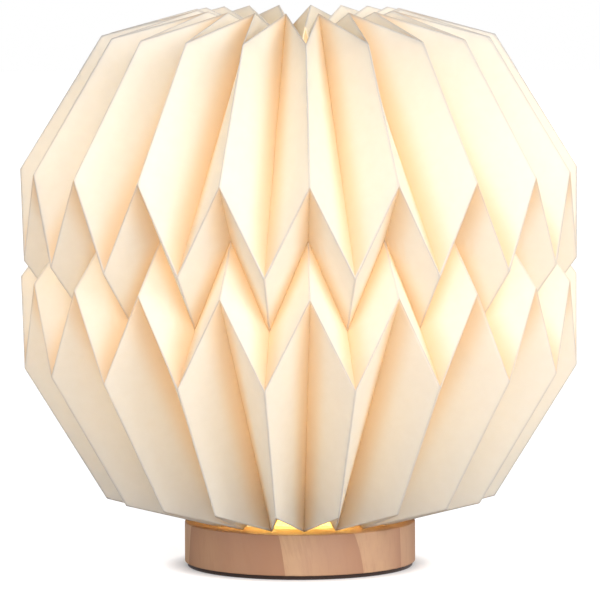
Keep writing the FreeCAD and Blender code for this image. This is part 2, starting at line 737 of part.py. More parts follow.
def make_leads():
    """Leads from the battery to the board, and from the board up to the LED board."""
    board = level(BOARD_TOP)
    front = level(BOARD_FRONT)
    radius = size("lead_radius")
    bend = size("lead_bend")
    battery_end = level(BATTERY_REAR)
    exit_level = level(COVER_TOP) + size("tape_height") + size("battery_height") / 2
    run_level = level(TRAY_BOTTOM) - 2 * radius
    joint = front + bend + 2 * radius
    bend_up = (front + battery_end) / 2
    lead_pair("battery_leads", size("battery_lead_x"), [
        (battery_end, exit_level),
        (bend_up, exit_level),
        (bend_up, run_level),
        (joint, run_level),
        (joint, board),
    ])
    tray_hole = level(LEAD_HOLE_Y)
    lead_pair("led_leads", 0, [
        (joint, board),
        (joint, run_level),
        (tray_hole, run_level),
        (tray_hole, level(TRAY_BOTTOM) + size("tray_floor")),
    ])


# ---- the shade --------------------------------------------------------------------------------

def fold_points():
    """Where the folds lie, as (radius, height from the middle).

    The shade is a strip of paper with straight folds at one pitch and five zigzag folds across them.
    Every second upright fold follows one outline, and those between follow the same outline upside
    down, so two outlines half a pleat apart are the whole shade. Each point keeps its length along
    the paper to its neighbours in both outlines: that closes the geometry, and gives the pitch, the
    zigzags' rise, the rim's tips and the collars that fold inwards from the rims.
    """
    radius = size("shade_radius")
    kink = size("kink_height")
    waist = size("waist_height")
    half_turn = math.pi / size("pleat_count")
    kink_point = (radius, kink)
    upper_waist = (radius, waist)
    lower_waist = (radius, -waist)
    inner_waist = (radius - size("waist_depth"), (kink - waist) / 2)
    pitch = math.dist(kink_point, inner_waist)
    slant = math.hypot(2 * radius * math.sin(half_turn / 2), kink - waist)
    rise = math.sqrt(slant ** 2 - pitch ** 2)
    lean = math.radians(size("flank_lean"))
    flank = size("flank_length")
    corner = (radius - flank * math.sin(lean), kink + flank * math.cos(lean))
    rim_rise = rise + size("rim_extra")
    rim_slant = math.hypot(pitch, rim_rise)
    tip = rim_tip(corner, upper_waist, rim_slant, flank + rise + rim_rise, half_turn)
    angle = math.atan2(pitch, rim_rise)
    from_corner = collar_direction(corner, tip, half_turn, angle, 1)
    from_tip = collar_direction(tip, corner, half_turn, math.pi - angle, -1)
    reach = size("lens_radius") + size("shade_fit") + size("paper")
    depth = (tip[0] - reach) / -from_tip[0]
    collar_corner = step(corner, from_corner, rim_rise + depth)
    collar_tip = step(tip, from_tip, depth)
    even = [collar_corner, corner, kink_point, inner_waist, lower_waist, flip(tip), flip(collar_tip)]
    odd = [flip(point) for point in reversed(even)]
    return even, odd


def flip(point):
    """The same point below the middle instead of above it."""
    return (point[0], -point[1])


def step(point, direction, length):
    """A point that lies a length away."""
    return (point[0] + direction[0] * length, point[1] + direction[1] * length)


def rim_tip(corner, waist, rim_slant, long_fold, half_turn):
    """The rim's inner tip: as far from the waist as its fold is long, and as far from the rim's
    corners, half a pleat away on both sides, as the rim's zigzag is long."""
    seen = (corner[0] * math.cos(half_turn), corner[1])
    aside = corner[0] * math.sin(half_turn)
    near = math.sqrt(rim_slant ** 2 - aside ** 2)
    apart = math.dist(seen, waist)
    along = (near ** 2 - long_fold ** 2 + apart ** 2) / (2 * apart)
    across = math.sqrt(near ** 2 - along ** 2)
    unit = ((waist[0] - seen[0]) / apart, (waist[1] - seen[1]) / apart)
    foot = step(seen, unit, along)
    return min(step(foot, (side * unit[1], -side * unit[0]), across) for side in (-1, 1))


def collar_direction(point, neighbour, half_turn, angle, side):
    """The direction, in the point's own upright plane, that makes an angle with the rim's zigzag."""
    across = neighbour[0] * math.cos(half_turn) - point[0]
    aside = neighbour[0] * math.sin(half_turn)
    up = neighbour[1] - point[1]
    length = math.sqrt(across ** 2 + aside ** 2 + up ** 2)
    flat = math.hypot(across, up) / length
    heading = math.atan2(up, across) + side * math.acos(math.cos(angle) / flat)
    return (math.cos(heading), math.sin(heading))


def in_space(point, turn):
    """A (radius, height) point at an angle from straight ahead."""
    radius, height = point
    return FreeCAD.Vector(radius * math.sin(turn), -radius * math.cos(turn), height)


def skin_offsets(own, other, half_turn, half_paper):
    """For each fold point, the way to the outer skin in its upright plane, the same distance from
    the panels that meet there."""
    outward = FreeCAD.Vector(0, -1, 0)
    up = FreeCAD.Vector(0, 0, 1)
    here = [in_space(point, 0) for point in own]
    there = [in_space(point, half_turn) for point in other]
    offsets = []
    last = len(own) - 1
    for index in range(len(own)):
        normals = []
        for first in (index - 1, index):
            if 0 <= first < last:
                fold = here[first + 1] - here[first]
                normals.append(fold.cross(there[index] - here[index]).normalize())
        if len(normals) == 1:
            fold = here[1] - here[0] if index == 0 else here[last] - here[last - 1]
            normals.append(fold.normalize())
            targets = (half_paper, 0)
        else:
            targets = (half_paper, half_paper)
        (a, b), (c, d) = [(normal.dot(outward), normal.dot(up)) for normal in normals]
        scale = a * d - b * c
        offset = ((targets[0] * d - targets[1] * b) / scale, (a * targets[1] - c * targets[0]) / scale)
        length = math.hypot(*offset)
        limit = min(1, size("fold_limit") / length)
        offsets.append((offset[0] * limit, offset[1] * limit))
    return offsets


def make_shade():
    """The sheets of the shade, glued edge to edge along upright folds beside the front, the rear and
    the two sides."""
    count = int(size("pleat_count"))
    outlines = fold_points()
    half_paper = size("paper") / 2
    offsets = [skin_offsets(outlines[0], outlines[1], math.pi / count, half_paper)]
    offsets.append([(radial, -up) for radial, up in reversed(offsets[0])])
    lowest = min(point[1] - shift[1] * side
                 for outline, shifts in zip(outlines, offsets)
                 for point, shift in zip(outline, shifts) for side in (-1, 1))
    middle = level(WOOD_TOP) + size("seat_gap") - lowest
    sides = ("front", "right", "rear", "left")
    panels = 2 * count // len(sides)
    for number, side in enumerate(sides):
        first = number * panels - panels // 2
        feature = doc.addObject("Part::Feature", "shade_sheet_" + side)
        feature.Shape = folded_sheet(outlines, offsets, middle, range(first, first + panels + 1))
        feature.Label = feature.Name
        PIECES.append(feature)


def folded_sheet(outlines, offsets, middle, columns):
    """One sheet as a closed solid: an outer and an inner skin, two flat facets to a panel, joined
    along its cut edges. Each column is one upright fold."""
    half_turn = math.pi / size("pleat_count")
    first_turn = math.radians(size("pleat_turn"))
    rows = len(outlines[0])
    last = len(columns) - 1
    points = []
    for column in columns:
        turn = first_turn + column * half_turn
        for side in (1, -1):
            for (radius, height), (radial, up) in zip(outlines[column % 2], offsets[column % 2]):
                spot = (radius + side * radial, middle + height + side * up)
                points.append(in_space(spot, turn))
    facets = []

    def index(place, side, row):
        return (2 * place + side) * rows + row

    def add_panel(corners, straight=True, turned_over=False):
        a, b, c, d = corners[:1] + corners[:0:-1] if turned_over else corners
        facets.extend([(a, b, c), (a, c, d)] if straight else [(a, b, d), (b, c, d)])

    for place in range(last):
        for row in range(rows - 1):
            for side in (0, 1):
                corners = [index(place, side, row), index(place, side, row + 1),
                           index(place + 1, side, row + 1), index(place + 1, side, row)]
                add_panel(corners, columns[place] % 2 == 0, side == 1)
        for row in (0, rows - 1):
            corners = [index(place, 0, row), index(place + 1, 0, row),
                       index(place + 1, 1, row), index(place, 1, row)]
            add_panel(corners, turned_over=row > 0)
    for place in (0, last):
        for row in range(rows - 1):
            corners = [index(place, 0, row), index(place, 0, row + 1),
                       index(place, 1, row + 1), index(place, 1, row)]
            add_panel(corners, turned_over=place == 0)
    skin = Part.Shape()
    skin.makeShapeFromMesh((points, facets), MESH_TOLERANCE)
    solid = Part.Solid(Part.Shell(skin.Faces))
    if solid.Volume < 0:
        solid.reverse()
    return solid


make_wooden_base()
make_base_cover()
countersunk_screws("cover_screws", COVER_SCREW_RING, "pad_height", "screw_head", "screw_radius",
                   "screw_length", "cover_screw_count", upward=True)
make_base_pad()
make_light_tray()
countersunk_screws("tray_screws", TRAY_SCREW_RING, WOOD_TOP, "small_head", "small_radius",
                   "tray_screw_length", "tray_screw_count", upward=False)
make_led_board()
make_leds()
pan_screws("led_board_screws", "led_screw_ring", LED_BOARD_TOP, "led_screw_reach", "led_screw_count")
make_lens()
make_battery()
make_charging_board()
make_board_parts()
make_socket()
make_switch()
make_bezel()
make_button()
make_leads()
make_shade()
doc.recompute()

for item in doc.Objects:
    if {"Invalid", "Error"} & set(item.State):
        raise RuntimeError("%s did not build: %s" % (item.Name, item.State))
os.makedirs("parts", exist_ok=True)
for piece in PIECES:
    shape = piece.Shape
    if shape.isNull() or not shape.isValid() or not shape.Solids:
        raise RuntimeError(piece.Label + " is not a valid solid")
    shape.exportStep("parts/%s.step" % piece.Label)
    spread = shape.BoundBox
    print("%-18s %2d solids %10.1f mm3  x %7.2f %7.2f  y %7.2f %7.2f  z %7.2f %7.2f" % (
        piece.Label, len(shape.Solids), shape.Volume, spread.XMin, spread.XMax,
        spread.YMin, spread.YMax, spread.ZMin, spread.ZMax))
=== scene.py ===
"""Looks of a pleated paper table lamp, laid out as an add-on and run as a script."""

import math

import bmesh
import bpy
import numpy as np
from bpy.props import FloatProperty, FloatVectorProperty, IntProperty, PointerProperty
from mathutils import Matrix, Vector


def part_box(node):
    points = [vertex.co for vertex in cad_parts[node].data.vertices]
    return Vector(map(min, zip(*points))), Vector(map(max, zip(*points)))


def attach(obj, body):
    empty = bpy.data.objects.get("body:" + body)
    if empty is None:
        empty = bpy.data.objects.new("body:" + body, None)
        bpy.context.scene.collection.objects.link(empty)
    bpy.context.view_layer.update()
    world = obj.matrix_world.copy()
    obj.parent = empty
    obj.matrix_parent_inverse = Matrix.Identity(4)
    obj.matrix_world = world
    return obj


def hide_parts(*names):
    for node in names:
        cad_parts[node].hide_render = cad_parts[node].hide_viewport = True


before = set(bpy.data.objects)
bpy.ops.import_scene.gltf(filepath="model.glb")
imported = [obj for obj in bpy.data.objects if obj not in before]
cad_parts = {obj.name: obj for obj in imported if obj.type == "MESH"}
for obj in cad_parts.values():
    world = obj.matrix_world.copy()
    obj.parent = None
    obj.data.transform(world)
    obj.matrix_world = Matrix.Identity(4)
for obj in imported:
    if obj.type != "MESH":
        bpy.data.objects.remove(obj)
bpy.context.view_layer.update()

bl_info = {
    "name": "Pleated Paper Lamp",
    "version": (1, 0, 0),
    "blender": (4, 5, 0),
    "location": "3D View > Sidebar > Lamp",
    "description": "Folds the paper shade, turns the wooden base and lights the lamp",
    "category": "Object",
}

MM = 0.001
GAP = 0.2 * MM                  # between a dressed piece and the solids that it goes round
CAVITY_RADIUS = 40 * MM         # hollow turned into the wood from below
ROOF_THICKNESS = 4.5 * MM       # wood above that hollow
FLANGE_SEAT = 1.5 * MM          # depth of the seat for the light tray's flange
TRAY_WALL = 1.6 * MM            # wall of the light tray's cup
RECESS_LIP = 2.2 * MM           # wood left round the opening behind the bezel's recess
LENS_RADIUS = 22.2 * MM
LENS_WALL = 1.6 * MM
LENS_SHOULDER = 3 * MM          # rounding of the lens's upper edge
FOLD_EDGE = 0.35 * MM           # strip of paper beside each fold that takes up its sharp turn
SHEETS = ("shade_sheet_front", "shade_sheet_right", "shade_sheet_rear", "shade_sheet_left")


def linear(code):
    """An sRGB hex colour as linear red, green, blue and alpha."""
    parts = np.array([int(code[i:i + 2], 16) for i in (0, 2, 4)]) / 255
    low = parts / 12.92
    high = ((parts + 0.055) / 1.055) ** 2.4
    return (*np.where(parts <= 0.04045, low, high).tolist(), 1.0)


# ---- sizes and colours that a user would change ----------------------------------------------

def length(name, description, default):
    """A length in metres."""
    return FloatProperty(name=name, description=description, default=default, min=0,
                         unit="LENGTH", precision=4)


def colour(name, description, code):
    """A colour from its sRGB hex code."""
    return FloatVectorProperty(name=name, description=description, size=4, min=0, max=1,
                               subtype="COLOR", default=linear(code))


class ShadeSettings(bpy.types.PropertyGroup):
    """Sizes of the folded paper, the same as those of the solid model."""
    pleats: IntProperty(name="Pleats", description="Number of pleats", default=20, min=8, max=40)
    turn: FloatProperty(name="Turn", description="From straight ahead to the first pleat",
                        default=math.radians(2.1), subtype="ANGLE")
    radius: length("Radius", "Outer folds of the shade", 120 * MM)
    kink: length("Kink", "Outer kinks above and below the middle", 42.2 * MM)
    waist: length("Waist", "Outer folds of the waist above and below the middle", 4.25 * MM)
    waist_depth: length("Waist depth", "Inner folds of the waist inside the outer ones", 17 * MM)
    flank: length("Flank", "Outer fold from the kink to the corner of the rim", 67.1 * MM)
    lean: FloatProperty(name="Lean", description="How far that fold leans inwards",
                        default=math.radians(31.7), subtype="ANGLE")
    rim_extra: length("Rim", "How much further the rim's zigzag rises than the others", 1.2 * MM)
    paper: length("Paper", "Thickness of the paper", 0.4 * MM)
    fit: length("Fit", "Play between the lower collar and the lens", 1.6 * MM)
    bow: length("Bow", "How far a panel bows out of its plane at most", 0.5 * MM)
    face: colour("Paper", "Cream-white paper by daylight", "FDF8EC")
    glow: colour("Glow", "Lamp light that has come through the paper", "FFFBF0")
    # painted light: a warm colour painted along the valley folds for the lamp light that gathers
    # there; the next setting is how strongly it shows
    valley_glow_paint: colour("Score", "Paper along its valley folds", "F6D6A0")
    painted_valley_glow: FloatProperty(name="Warmth", description="How much of that colour a valley fold shows",
                          default=0.5, min=0, max=1)
    lets_through: FloatProperty(name="Lets through", default=0.34, min=0, max=1,
                                description="Share of the light that comes through")


class BaseSettings(bpy.types.PropertyGroup):
    """Finish of the wooden base."""
    edge: length("Edge", "Broken edges of the turned wood", 0.7 * MM)
    early: colour("Early wood", "Pale wood between the growth rings", "D0A780")
    late: colour("Late wood", "Darker line at each growth ring", "B28363")
    felt: colour("Felt", "Dark brown felt under the base", "3A2A22")


class LightSettings(bpy.types.PropertyGroup):
    """Light of the lamp and of the studio."""
    lamp: colour("Lamp", "Warm white of the LEDs", "FFF6E4")
    power: FloatProperty(name="Power", description="Light that leaves the top of the lens",
                         default=0.5, min=0, unit="POWER")
    lens: colour("Lens", "Deep yellow of the lens's side", "FFCB50")
    glow: FloatProperty(name="Glow", description="How brightly that side glows",
                        default=3.2, min=0)
    sky: FloatProperty(name="Sky", description="Even light from all around",
                       default=0.22, min=0)
    front: FloatProperty(name="Front", description="How much brighter it is from the front",
                         default=1.7, min=0)
    key: FloatProperty(name="Key", description="Power of the large soft front light",
                       default=20, min=0, unit="POWER")


class ViewSettings(bpy.types.PropertyGroup):
    """Where the camera stands, worked out from the folds seen in the photograph."""
    distance: length("Distance", "From the lamp's axis", 2.4395)
    height: length("Height", "Above the floor", 0.345)
    pitch: FloatProperty(name="Pitch", description="How far it looks down",
                         default=math.radians(5.382), subtype="ANGLE")
    roll: FloatProperty(name="Roll", description="Turn about its line of sight",
                        default=math.radians(-0.166), subtype="ANGLE")
    lens: FloatProperty(name="Lens", description="Focal length in millimetres", default=339.9)
    shift: FloatProperty(name="Shift", description="Sideways shift of the picture", default=0.0011)


# ---- meshes ------------------------------------------------------------------------------------

def put_mesh(name, points, faces):
    """A smooth mesh object at the origin from arrays of points and of faces."""
    mesh = bpy.data.meshes.new(name)
    mesh.from_pydata(np.asarray(points).tolist(), [], np.asarray(faces).tolist())
    mesh.polygons.foreach_set("use_smooth", [True] * len(mesh.polygons))
    mesh.update()
    piece = bpy.data.objects.new(name, mesh)
    bpy.context.scene.collection.objects.link(piece)
    return piece


def point_values(piece, name, values):
    """One number for each point of the mesh, for its material."""
    layer = piece.data.attributes.new(name, "FLOAT", "POINT")
    layer.data.foreach_set("value", np.asarray(values, np.float32).ravel())


def grid_faces(rows, columns, wrap):
    """Quads of a grid of points, with the last column joined to the first where it wraps."""
    across = columns if wrap else columns - 1
    row, column = np.meshgrid(np.arange(rows - 1), np.arange(across), indexing="ij")
    following = (column + 1) % columns
    quads = [row * columns + column, (row + 1) * columns + column,
             (row + 1) * columns + following, row * columns + following]
    return np.stack(quads, -1).reshape(-1, 4)


def smooth_corners(corners, rounding, steps=5):
    """An outline with each corner rounded: an arc by the quadratic curve through the points a
    rounding before and after the corner, with the corner as its control point."""
    corners = np.asarray(corners, float)
    before = np.roll(corners, 1, 0) - corners
    after = np.roll(corners, -1, 0) - corners
    before_length = np.linalg.norm(before, axis=1, keepdims=True)
    after_length = np.linalg.norm(after, axis=1, keepdims=True)
    radius = np.minimum(rounding, 0.45 * np.minimum(before_length, after_length))
    start = corners + before / before_length * radius
    end = corners + after / after_length * radius
    t = np.linspace(0, 1, steps)[None, :, None]
    curve = ((1 - t) ** 2 * start[:, None] + 2 * t * (1 - t) * corners[:, None]
             + t ** 2 * end[:, None])
    return curve.reshape(-1, 2)


def turned(name, outline, segments):
    """A closed outline of (radius, height) turned about the lamp's axis: x = r sin a, y = -r cos a.
    The outline runs so that its faces point outwards; points on the axis are merged."""
    angle = np.linspace(0, 2 * np.pi, segments, endpoint=False)
    radius, height = np.asarray(outline, float).T
    points = np.stack([radius[:, None] * np.sin(angle), -radius[:, None] * np.cos(angle),
                       np.repeat(height[:, None], segments, 1)], -1)
    rows = len(outline)
    faces = grid_faces(rows + 1, segments, True) % (rows * segments)
    piece = put_mesh(name, points.reshape(-1, 3), faces)
    clean(piece)
    return piece


def clean(piece):
    """Merge doubles, drop faces without area and make all faces point outwards."""
    work = bmesh.new()
    work.from_mesh(piece.data)
    bmesh.ops.remove_doubles(work, verts=work.verts, dist=1e-6)
    bmesh.ops.dissolve_degenerate(work, edges=work.edges, dist=1e-7)
    bmesh.ops.recalc_face_normals(work, faces=work.faces)
    work.to_mesh(piece.data)
    work.free()
    piece.data.update()


def sharpen(piece, angle=math.radians(35)):
    """Shade smooth, but keep edges steeper than an angle crisp."""
    with bpy.context.temp_override(object=piece, active_object=piece,
                                   selected_editable_objects=[piece]):
        bpy.ops.object.shade_smooth_by_angle(angle=angle)


def slot_outline(width, height, steps=24):
    """A slot with round ends: two half circles joined by straight sides, run anticlockwise."""
    half = height / 2
    reach = width / 2 - half
    angle = np.linspace(-np.pi / 2, np.pi / 2, steps)
    right = np.stack([reach + half * np.cos(angle), half * np.sin(angle)], -1)
    return np.concatenate([right, -right])


def stacked(name, rings):
    """Rings of the same number of (x, z) points, each with its y, joined in order and capped."""
    points = np.concatenate([np.stack([ring[:, 0], np.full(len(ring), y), ring[:, 1]], -1)
                             for ring, y in rings])
    count = len(rings[0][0])
    faces = grid_faces(len(rings), count, True).tolist()
    faces.append(list(range(count)))
    faces.append(list(range(len(points) - 1, len(points) - count - 1, -1)))
    piece = bpy.data.objects.new(name, bpy.data.meshes.new(name))
    piece.data.from_pydata(points.tolist(), [], faces)
    bpy.context.scene.collection.objects.link(piece)
    clean(piece)
    return piece


def cut(piece, tool):
    """Take one closed mesh out of another and delete the tool."""
    modifier = piece.modifiers.new("cut", "BOOLEAN")
    modifier.operation = "DIFFERENCE"
    modifier.solver = "EXACT"
    modifier.object = tool
    graph = bpy.context.evaluated_depsgraph_get()
    result = bpy.data.meshes.new_from_object(piece.evaluated_get(graph))
    if not result.polygons:
        raise RuntimeError("nothing is left of %s after its cut" % piece.name)
    piece.modifiers.clear()
    piece.data = result
    bpy.data.objects.remove(tool)


def dress(piece, material, slot, body, *replaced):
    """Give a new piece its material and the body it rides on; its slot is not used."""
    if not piece.data.polygons:
        raise RuntimeError("%s has no faces" % piece.name)
    piece.data.materials.clear()
    piece.data.materials.append(material)
    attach(piece, body)
    if replaced:
        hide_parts(*replaced)


def paint(node, material):
    """Give a solid of the frame its material."""
    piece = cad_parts[node]
    if not piece.material_slots:
        piece.data.materials.append(None)
    for holder in piece.material_slots:
        holder.link = "OBJECT"
        holder.material = material


# ---- the folded sheet ---------------------------------------------------------------------------

def step(point, direction, reach):
    """A point that lies a length away."""
    return point + np.asarray(direction) * reach


def rim_tip(corner, waist, rim_slant, long_fold, half_turn):
    """The rim's inner tip: two circles cross in its upright plane, one round the waist's fold point
    and one round the rim's corner as seen from that plane."""
    seen = corner * (math.cos(half_turn), 1)
    near = math.sqrt(rim_slant ** 2 - (corner[0] * math.sin(half_turn)) ** 2)
    apart = np.linalg.norm(waist - seen)
    along = (near ** 2 - long_fold ** 2 + apart ** 2) / (2 * apart)
    across = math.sqrt(near ** 2 - along ** 2)
    unit = (waist - seen) / apart
    foot = step(seen, unit, along)
    sides = [step(foot, (side * unit[1], -side * unit[0]), across) for side in (-1, 1)]
    return min(sides, key=lambda spot: spot[0])


def collar_direction(point, neighbour, half_turn, angle, side):
    """The direction in the point's upright plane that makes an angle with the rim's zigzag."""
    across = neighbour[0] * math.cos(half_turn) - point[0]
    up = neighbour[1] - point[1]
    flat = math.hypot(across, up) / math.hypot(across, up, neighbour[0] * math.sin(half_turn))
    heading = math.atan2(up, across) + side * math.acos(math.cos(angle) / flat)
    return np.array([math.cos(heading), math.sin(heading)])


def fold_outlines(paper, lens_radius):
    """The two outlines of fold points, as (radius, height from the middle), and each point's place
    along the flat sheet. Every fold keeps its length in both outlines, as real paper does."""
    half_turn = math.pi / paper.pleats
    kink = np.array([paper.radius, paper.kink])
    waist = np.array([paper.radius, paper.waist])
    inner = np.array([paper.radius - paper.waist_depth, (paper.kink - paper.waist) / 2])
    pitch = np.linalg.norm(kink - inner)
    slant = math.hypot(2 * paper.radius * math.sin(half_turn / 2), paper.kink - paper.waist)
    rise = math.sqrt(slant ** 2 - pitch ** 2)
    corner = step(kink, (-math.sin(paper.lean), math.cos(paper.lean)), paper.flank)
    rim_rise = rise + paper.rim_extra
    rim_slant = math.hypot(pitch, rim_rise)
    long_fold = paper.flank + rise + rim_rise
    tip = rim_tip(corner, waist, rim_slant, long_fold, half_turn)
    angle = math.atan2(pitch, rim_rise)
    from_corner = collar_direction(corner, tip, half_turn, angle, 1)
    from_tip = collar_direction(tip, corner, half_turn, math.pi - angle, -1)
    depth = (tip[0] - lens_radius - paper.fit) / -from_tip[0]
    over = np.array([1, -1])
    even = np.array([step(corner, from_corner, rim_rise + depth), corner, kink, inner, waist * over,
                     tip * over, step(tip, from_tip, depth) * over])
    odd = even[::-1] * over
    even_flat = np.concatenate([[0], np.cumsum(np.linalg.norm(np.diff(even, axis=0), axis=1))])
    odd_flat = np.concatenate([[0], np.cumsum(np.linalg.norm(np.diff(odd, axis=0), axis=1))])
    return even, odd, even_flat, odd_flat, pitch


def make_shade_mesh(paper):
    """The sheet as one grid. Each upright fold is a line of points in its own upright plane, and a
    panel is the ruled surface between two such lines, point = (1 - s) left + s right, bowed by
    sin(pi s) sin(pi t) along its normal. Two skins stand half the paper's thickness to either side,
    joined at both cuts."""
    low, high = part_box(SHEETS[0])
    even, odd, even_flat, odd_flat, pitch = fold_outlines(paper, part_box("opal_lens")[1].x)
    middle = (low.z + high.z) / 2
    edge = FOLD_EDGE / pitch
    bands = len(even) - 1
    row_steps = np.array([0, 0.012, 0.05, 0.15, 0.3, 0.5, 0.7, 0.85, 0.95, 0.988])
    row_at = np.append((np.arange(bands)[:, None] + row_steps).ravel(), bands)
    across = np.array([0, edge, 0.05, 0.14, 0.28, 0.44, 0.6, 0.76, 0.88, 0.95, 1 - edge])
    folds = 2 * paper.pleats
    turn = paper.turn + np.arange(folds) * math.pi / paper.pleats
    is_odd = (np.arange(folds) % 2).astype(bool)
    whole = np.arange(bands + 1)

    def along(values):
        return np.interp(row_at, whole, values)

    radius = np.where(is_odd, along(odd[:, 0])[:, None], along(even[:, 0])[:, None])
    height = np.where(is_odd, along(odd[:, 1])[:, None], along(even[:, 1])[:, None])
    flat = np.where(is_odd, along(odd_flat)[:, None], along(even_flat)[:, None])
    lines = np.stack([radius * np.sin(turn), -radius * np.cos(turn), height + middle], -1)
    s = across[None, None, :, None]
    sheet = (1 - s) * lines[:, :, None] + s * np.roll(lines, -1, 1)[:, :, None]
    flat_v = (1 - s[..., 0]) * flat[:, :, None] + s[..., 0] * np.roll(flat, -1, 1)[:, :, None]
    flat_u = (np.arange(folds)[None, :, None] + across[None, None, :]) * pitch + 0 * flat_v
    rows = len(row_at)
    columns = folds * len(across)
    sheet = sheet.reshape(rows, columns, 3)

    draw = np.random.default_rng(7)
    bow = draw.uniform(-1, 1, (bands, folds)) * paper.bow
    band_of = np.minimum(row_at.astype(int), bands - 1)
    t = row_at - band_of
    lift = (bow[band_of][:, :, None] * np.sin(np.pi * t)[:, None, None]
            * np.sin(np.pi * across)[None, None, :]).reshape(rows, columns, 1)
    sheet = sheet + lift * grid_normals(sheet)
    normal = grid_normals(sheet)
    outer = sheet + normal * paper.paper / 2
    inner = sheet - normal * paper.paper / 2
    count = rows * columns
    faces = grid_faces(rows, columns, True)
    here = np.arange(columns)
    after = np.roll(here, -1)
    top = np.stack([here, after, after + count, here + count], -1)
    last = (rows - 1) * columns
    bottom = np.stack([here + last, here + last + count, after + last + count, after + last], -1)
    points = np.concatenate([outer.reshape(-1, 3), inner.reshape(-1, 3)])
    faces = np.concatenate([faces, faces[:, ::-1] + count, top, bottom])
    piece = put_mesh("paper_shade", points, faces)
    ridge, valley = fold_gaps(row_at, across, even_flat, folds, pitch)
    point_values(piece, "ridge_gap", np.tile(ridge.reshape(-1), 2) / MM)
    point_values(piece, "valley_gap", np.tile(valley.reshape(-1), 2) / MM)
    point_values(piece, "sheet_u", np.tile(flat_u.reshape(-1), 2))
    point_values(piece, "sheet_v", np.tile(flat_v.reshape(-1), 2))
    return piece


def fold_gaps(row_at, across, flat, folds, pitch):
    """How far each point of the sheet lies from the nearest mountain fold and from the nearest
    valley fold. Upright folds change from one to the other at each zigzag: fold j is a valley in
    band b where j + b is even. The middle zigzag is a valley, and the others are mountains."""
    bands = len(flat) - 1
    band = np.minimum(row_at.astype(int), bands - 1)
    along = np.interp(row_at, np.arange(bands + 1), flat)
    valley_left = ((band[:, None] + np.arange(folds)[None, :]) % 2 == 0)[:, :, None]
    from_left = (across * pitch)[None, None, :]
    from_right = pitch - from_left
    middle = bands // 2
    crossings = np.array([flat[k] for k in range(1, bands) if k != middle])
    to_mountain = np.abs(along[:, None] - crossings).min(1)[:, None, None]
    to_middle = np.abs(along - flat[middle])[:, None, None]
    ridge = np.minimum(np.where(valley_left, from_right, from_left), to_mountain)
    valley = np.minimum(np.where(valley_left, from_left, from_right), to_middle)
    return ridge, valley


def grid_normals(grid):
    """Unit normals of a wrapped grid: the mean of the unit normals of the quads that meet at each
    point, so that both sides of a fold count the same."""
    down = grid[1:] - grid[:-1]
    right = np.roll(grid, -1, 1) - grid
    cross = np.cross(down, right[:-1] + right[1:])
    cross /= np.linalg.norm(cross, axis=-1, keepdims=True)
    cross = cross + np.roll(cross, 1, 1)
    total = np.zeros_like(grid)
    total[:-1] += cross
    total[1:] += cross
    return total / np.linalg.norm(total, axis=-1, keepdims=True)


# ---- materials ----------------------------------------------------------------------------------

def add(tree, kind, inputs=None, **settings):
    """One node with its settings and its inputs, each a value or another node's output."""
    node = tree.nodes.new(kind)
    for name, value in settings.items():
        setattr(node, name, value)
    for name, value in (inputs or {}).items():
        if isinstance(value, bpy.types.NodeSocket):
            tree.links.new(value, node.inputs[name])
        else:
            node.inputs[name].default_value = value
    return node


def new_material(name):
    """An empty node material with its output, ready for a shader."""
    material = bpy.data.materials.new(name)
    material.use_nodes = True
    tree = material.node_tree
    tree.nodes.clear()
    return material, tree, add(tree, "ShaderNodeOutputMaterial")


def ramp(tree, factor, stops):
    """A colour ramp from (position, colour) stops."""
    node = add(tree, "ShaderNodeValToRGB", {"Fac": factor})
    elements = node.color_ramp.elements
    while len(elements) < len(stops):
        elements.new(0.5)
    for element, (position, shade) in zip(elements, stops):
        element.position = position
        element.color = shade
    return node.outputs["Color"]


def mix(tree, factor, first, second):
    """Two colours mixed by a factor."""
    node = add(tree, "ShaderNodeMix", data_type="RGBA")
    for socket, value in ((0, factor), (6, first), (7, second)):
        if isinstance(value, bpy.types.NodeSocket):
            tree.links.new(value, node.inputs[socket])
        else:
            node.inputs[socket].default_value = value
    return node.outputs[2]


def shaded(colour_value, factors):
    """A colour with its red, green and blue scaled."""
    return tuple(np.array(tuple(colour_value)) * (*factors, 1))


def node_out(tree, kind, output, inputs, **settings):
    """One output of a new node."""
    return add(tree, kind, inputs, **settings).outputs[output]


def span(tree, value, low, high, **settings):
    """A value in the range low to high, mapped to another: each range is a pair."""
    return node_out(tree, "ShaderNodeMapRange", "Result",
                    {"Value": value, "From Min": low[0], "From Max": low[1],
                     "To Min": high[0], "To Max": high[1]}, **settings)


def object_place(tree):
    """Where a point lies on its object, in metres."""
    return node_out(tree, "ShaderNodeTexCoord", "Object", {})


def noise(tree, place, scale, **settings):
    """Value of a noise texture with that many cells per metre."""
    inputs = {"Vector": place, "Scale": scale}
    inputs.update({name: settings.pop(name) for name in ("Detail", "Roughness", "Distortion")
                   if name in settings})
    return node_out(tree, "ShaderNodeTexNoise", "Fac", inputs, **settings)


def bump(tree, height, strength, distance):
    """Normals bent by a height in metres."""
    return node_out(tree, "ShaderNodeBump", "Normal",
                    {"Height": height, "Strength": strength, "Distance": distance})


